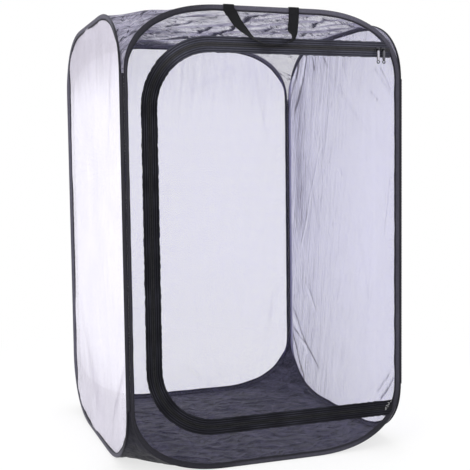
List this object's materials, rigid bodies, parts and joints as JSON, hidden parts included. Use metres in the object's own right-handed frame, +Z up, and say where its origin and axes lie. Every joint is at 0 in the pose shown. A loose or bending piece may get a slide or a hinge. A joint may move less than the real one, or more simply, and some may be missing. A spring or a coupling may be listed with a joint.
{
  "type": "insect cage",
  "caption": "Fold-flat mesh insect cage with spring-wire hooped sides, a wide zipped front door, a cloth floor and a webbing carrying handle.",
  "frame": {"origin": "Middle of the whole footprint, handle included, on the surface that the cage stands on.", "axes": "+Z up; the zipped door and the handle face -Y; +X is towards the side where the door is hinged."},
  "size_m": [0.6, 0.63, 0.9166],
  "materials": {
    "side_mesh": "fine pale netting that light passes through",
    "roof_mesh": "fine netting, gathered and wrinkled",
    "floor_cloth": "dark crinkled coated nylon",
    "binding": "dark woven binding tape",
    "zip_tape": "black ribbed zipper tape",
    "zip_teeth": "black nylon zipper chain",
    "webbing": "black woven webbing",
    "thread": "white thread",
    "spring_steel": "bare spring wire",
    "zinc_pull": "bright plated zinc"
  },
  "bodies": {
    "root": {"back_binding": "binding", "back_hoop_wire": "spring_steel", "back_wire_sleeve": "spring_steel", "back_mesh": "side_mesh", "roof_mesh": "roof_mesh", "floor_panel": "floor_cloth", "back_left_seam": "binding", "back_right_seam": "binding"},
    "left_side": {"left_binding": "binding", "left_hoop_wire": "spring_steel", "left_wire_sleeve": "spring_steel", "left_mesh": "side_mesh", "front_left_seam": "binding"},
    "right_side": {"right_binding": "binding", "right_hoop_wire": "spring_steel", "right_wire_sleeve": "spring_steel", "right_mesh": "side_mesh", "front_right_seam": "binding"},
    "front_side": {"front_binding": "binding", "front_hoop_wire": "spring_steel", "front_wire_sleeve": "spring_steel", "front_surround_mesh": "side_mesh", "front_hinge_strip": "side_mesh", "zipper_outer_tape": "zip_tape", "zipper_outer_teeth": "zip_teeth", "zipper_upper_end_tape": "zip_tape", "zipper_lower_end_tape": "zip_tape", "zipper_upper_end_teeth": "zip_teeth", "zipper_lower_end_teeth": "zip_teeth", "zipper_end_bartack": "thread", "handle_left_tab": "webbing", "handle_right_tab": "webbing"},
    "door": {"door_mesh": "side_mesh", "door_tape": "zip_tape", "door_teeth": "zip_teeth"},
    "first_slider": {"first_slider": "zinc_pull"},
    "second_slider": {"second_slider": "zinc_pull"},
    "first_pull": {"first_pull_tab": "zinc_pull"},
    "second_pull": {"second_pull_tab": "zinc_pull"},
    "handle": {"carry_handle": "webbing"}
  },
  "joints": [
    {"name": "left_fold", "type": "hinge", "parent": "root", "child": "left_side", "pos_m": [-0.296, 0.31102, 0.4575], "axis": [0, 0, 1], "range_deg": [-84, 84], "deforming": ["roof_mesh", "floor_panel"]},
    {"name": "right_fold", "type": "hinge", "parent": "root", "child": "right_side", "pos_m": [0.296, 0.31102, 0.4575], "axis": [0, 0, 1], "range_deg": [-84, 84]},
    {"name": "front_fold", "type": "hinge", "parent": "left_side", "child": "front_side", "pos_m": [-0.296, -0.28897, 0.4575], "axis": [0, 0, 1], "range_deg": [-84, 84]},
    {"name": "door_swing", "type": "hinge", "parent": "front_side", "child": "door", "pos_m": [0.23405, -0.29197, 0.4625], "axis": [0, 0, 1], "range_deg": [0, 120]},
    {"name": "first_slider_travel", "type": "slide", "parent": "front_side", "child": "first_slider", "axis": [1, 0, 0], "range_m": [-0.15, 0]},
    {"name": "second_slider_travel", "type": "slide", "parent": "front_side", "child": "second_slider", "axis": [1, 0, 0], "range_m": [-0.0025, 0.0015]},
    {"name": "first_pull_swing", "type": "hinge", "parent": "first_slider", "child": "first_pull", "pos_m": [0.24105, -0.29547, 0.839], "axis": [-1, 0, 0], "range_deg": [0, 150]},
    {"name": "second_pull_swing", "type": "hinge", "parent": "second_slider", "child": "second_pull", "pos_m": [0.25405, -0.29547, 0.839], "axis": [-1, 0, 0], "range_deg": [0, 150]},
    {"name": "handle_swing", "type": "hinge", "parent": "front_side", "child": "handle", "pos_m": [-0.0145, -0.29552, 0.9043], "axis": [-1, 0, 0], "range_deg": [0, 180]}
  ],
  "couplings": [
    {"joint": "right_fold", "follows": "left_fold", "ratio": 1},
    {"joint": "front_fold", "follows": "left_fold", "ratio": -1}
  ]
}
